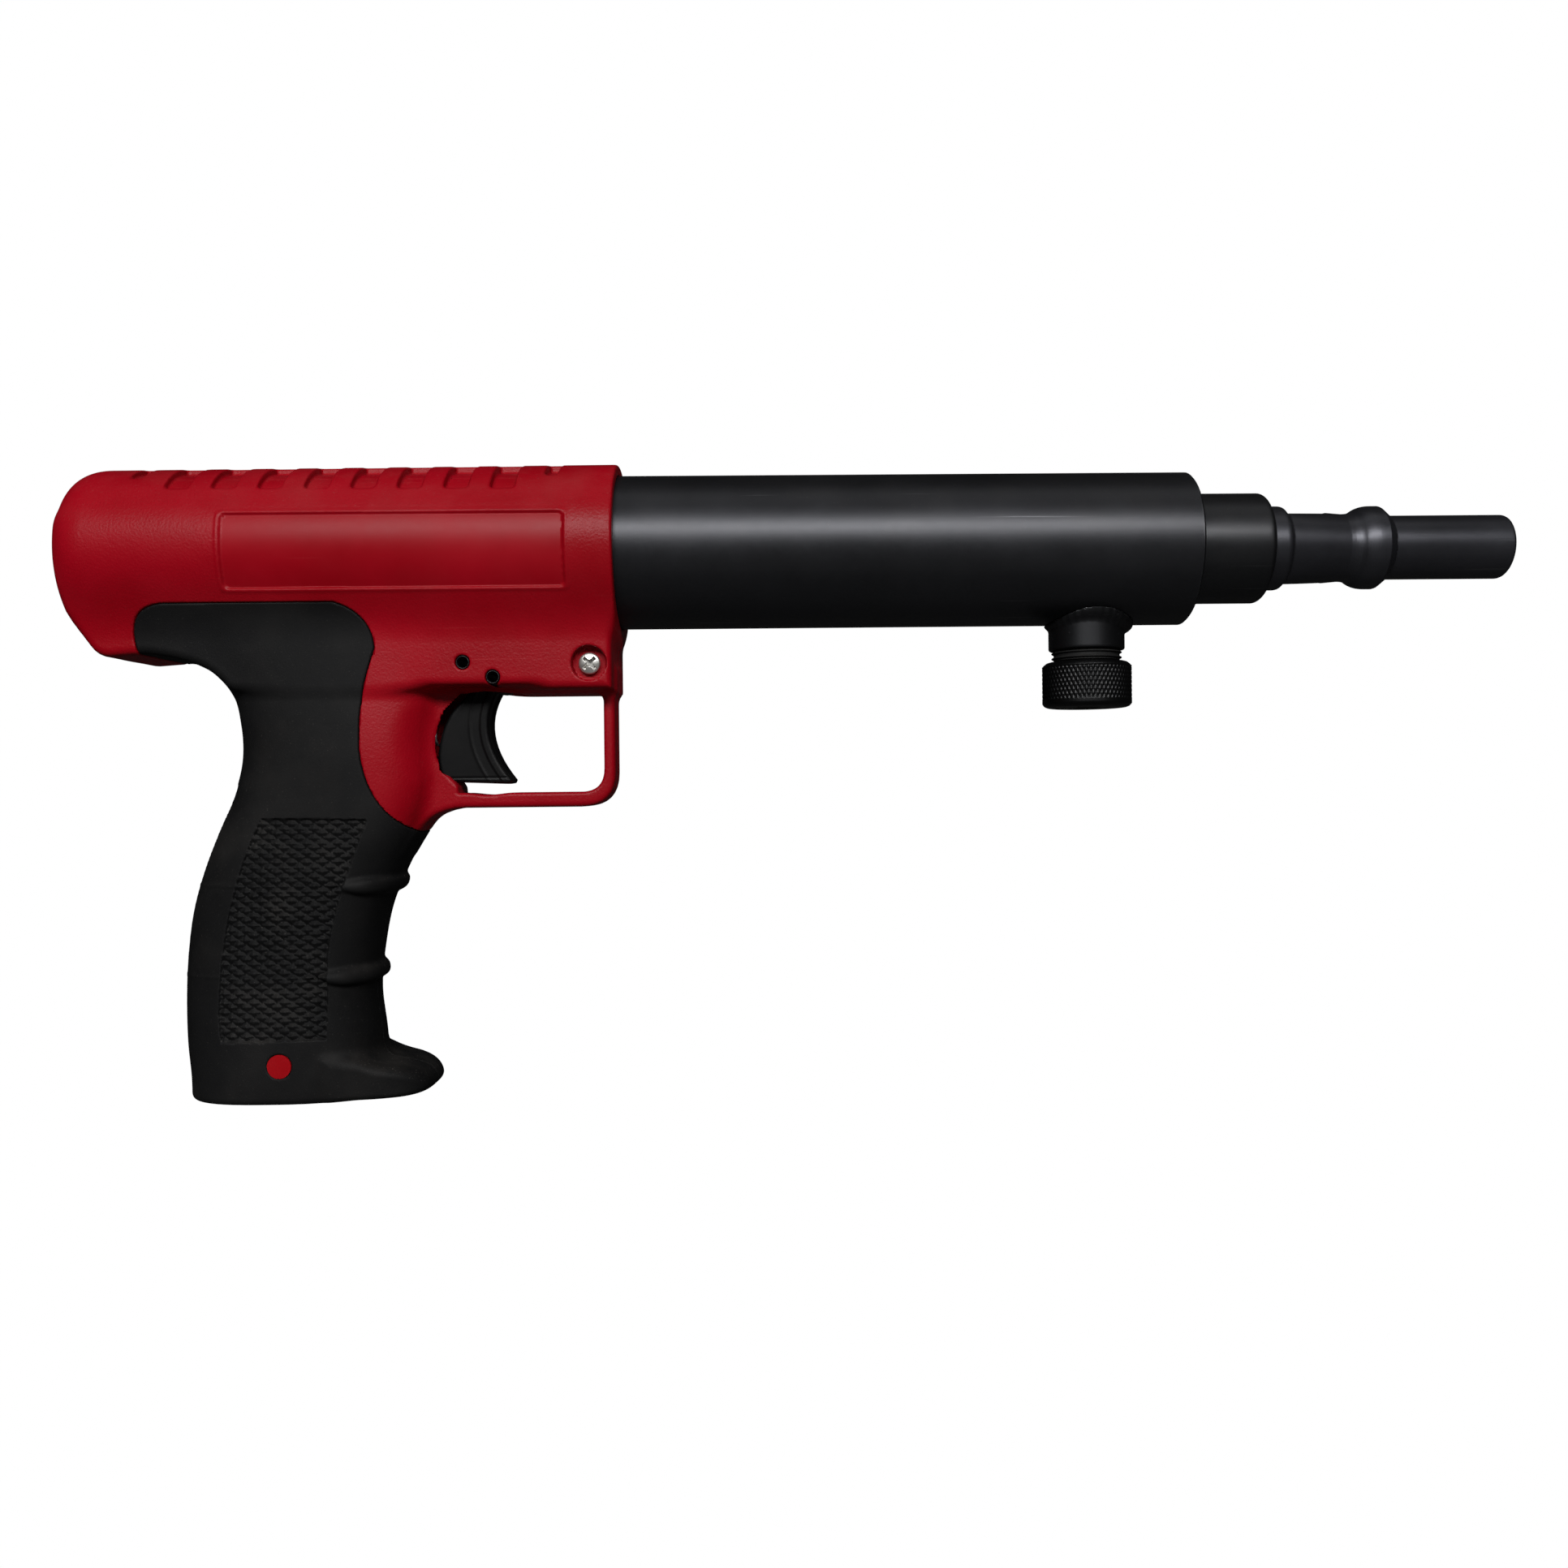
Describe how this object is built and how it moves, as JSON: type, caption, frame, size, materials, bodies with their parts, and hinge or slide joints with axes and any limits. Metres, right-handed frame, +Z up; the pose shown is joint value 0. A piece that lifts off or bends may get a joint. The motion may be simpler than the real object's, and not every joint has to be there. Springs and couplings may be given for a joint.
{
  "type": "powder-actuated nail gun",
  "caption": "Powder-actuated nail gun with a silencer tube, push-in nose, pistol grip, guarded trigger and a knurled relief knob.",
  "frame": {"origin": "centre of the muzzle's mouth", "axes": "+X out of the muzzle along the bore, +Z up, so +Y is the tool's left-hand side"},
  "size_m": [0.3566, 0.0436, 0.1556],
  "materials": {
    "red_nylon": "fine moulded grain",
    "soft_cover": "fine matte grain with moulded checkering",
    "red_plug": "satin",
    "zinc_steel": "zinc plated",
    "blued_tube": "blued, satin",
    "blued_nose": "blued, satin",
    "blued_collar": "blued, satin",
    "blued_steel": "blued, satin",
    "knurled_steel": "blued, diamond knurl",
    "pin_steel": "blacked",
    "bare_steel": "ground and oiled",
    "spring_steel": "drawn wire",
    "bronze": "turned",
    "buffer_rubber": "moulded",
    "seal_rubber": "moulded",
    "trigger_nylon": "satin"
  },
  "bodies": {
    "frame": {"housing_right": "red_nylon", "housing_left": "red_nylon", "grip_cover_right": "soft_cover", "grip_cover_left": "soft_cover", "grip_plugs": "red_plug", "grip_screw": "zinc_steel", "grip_nut": "zinc_steel", "front_screw": "zinc_steel", "front_nut": "zinc_steel", "silencer_tube": "blued_tube", "front_bushing": "bronze", "bushing_clip": "spring_steel", "stop_ring": "spring_steel", "muffler_sleeve": "bare_steel", "breech_cup": "blued_steel", "striker_sleeve": "blued_steel", "rear_cap": "blued_steel", "end_buffer": "buffer_rubber", "port_boss": "blued_steel", "knob_seal": "seal_rubber", "knob_clip": "spring_steel", "nose_spring": "spring_steel", "striker_spring": "spring_steel", "sear_spring": "spring_steel", "trigger_spring": "spring_steel", "trigger_pin": "pin_steel", "sear_pin": "pin_steel"},
    "nose": {"muzzle_nozzle": "blued_nose", "barrel_collar": "blued_collar", "barrel_nut": "blued_steel", "inner_barrel": "blued_steel", "rod_guide_front": "bronze", "rod_guide_rear": "bronze", "rod_spring": "spring_steel"},
    "firing_rod": {"firing_rod": "bare_steel"},
    "striker": {"striker": "bare_steel"},
    "trigger": {"trigger": "trigger_nylon"},
    "sear": {"sear": "blued_steel"},
    "relief_knob": {"relief_knob": "knurled_steel"},
    "relief_plug": {"relief_plug": "bare_steel"}
  },
  "joints": [
    {"name": "nose_push", "type": "slide", "parent": "frame", "child": "nose", "axis": [-1, 0, 0], "range_m": [0, 0.016], "stiffness_N_per_m": 1500, "springref_m": -0.02, "deforming": ["nose_spring"]},
    {"name": "rod_fire", "type": "slide", "parent": "nose", "child": "firing_rod", "axis": [1, 0, 0], "range_m": [0, 0.003], "stiffness_N_per_m": 600, "springref_m": -0.008, "deforming": ["rod_spring"]},
    {"name": "striker_cock", "type": "slide", "parent": "frame", "child": "striker", "axis": [-1, 0, 0], "range_m": [0, 0.012], "stiffness_N_per_m": 1200, "springref_m": -0.01, "deforming": ["striker_spring"]},
    {"name": "trigger_pull", "type": "hinge", "parent": "frame", "child": "trigger", "pos_m": [-0.2528, 0, -0.0319], "axis": [0, 1, 0], "range_deg": [0, 14], "stiffness_Nm_per_rad": 0.6, "springref_deg": -17.19, "deforming": ["trigger_spring"]},
    {"name": "sear_rock", "type": "hinge", "parent": "frame", "child": "sear", "pos_m": [-0.26, 0, -0.0283], "axis": [0, 1, 0], "range_deg": [-8.5, 0], "stiffness_Nm_per_rad": 0.2, "springref_deg": 11.46, "deforming": ["sear_spring"]},
    {"name": "knob_turn", "type": "hinge", "parent": "frame", "child": "relief_knob", "pos_m": [-0.1058, 0, -0.035], "axis": [0, 0, 1], "range_deg": [0, 270]},
    {"name": "plug_lift", "type": "slide", "parent": "frame", "child": "relief_plug", "axis": [0, 0, -1], "range_m": [0, 0.00225]}
  ],
  "couplings": [
    {"joint": "sear_rock", "follows": "trigger_pull", "ratio": -0.6},
    {"joint": "plug_lift", "follows": "knob_turn", "m_per_rad": 0.00047746}
  ]
}
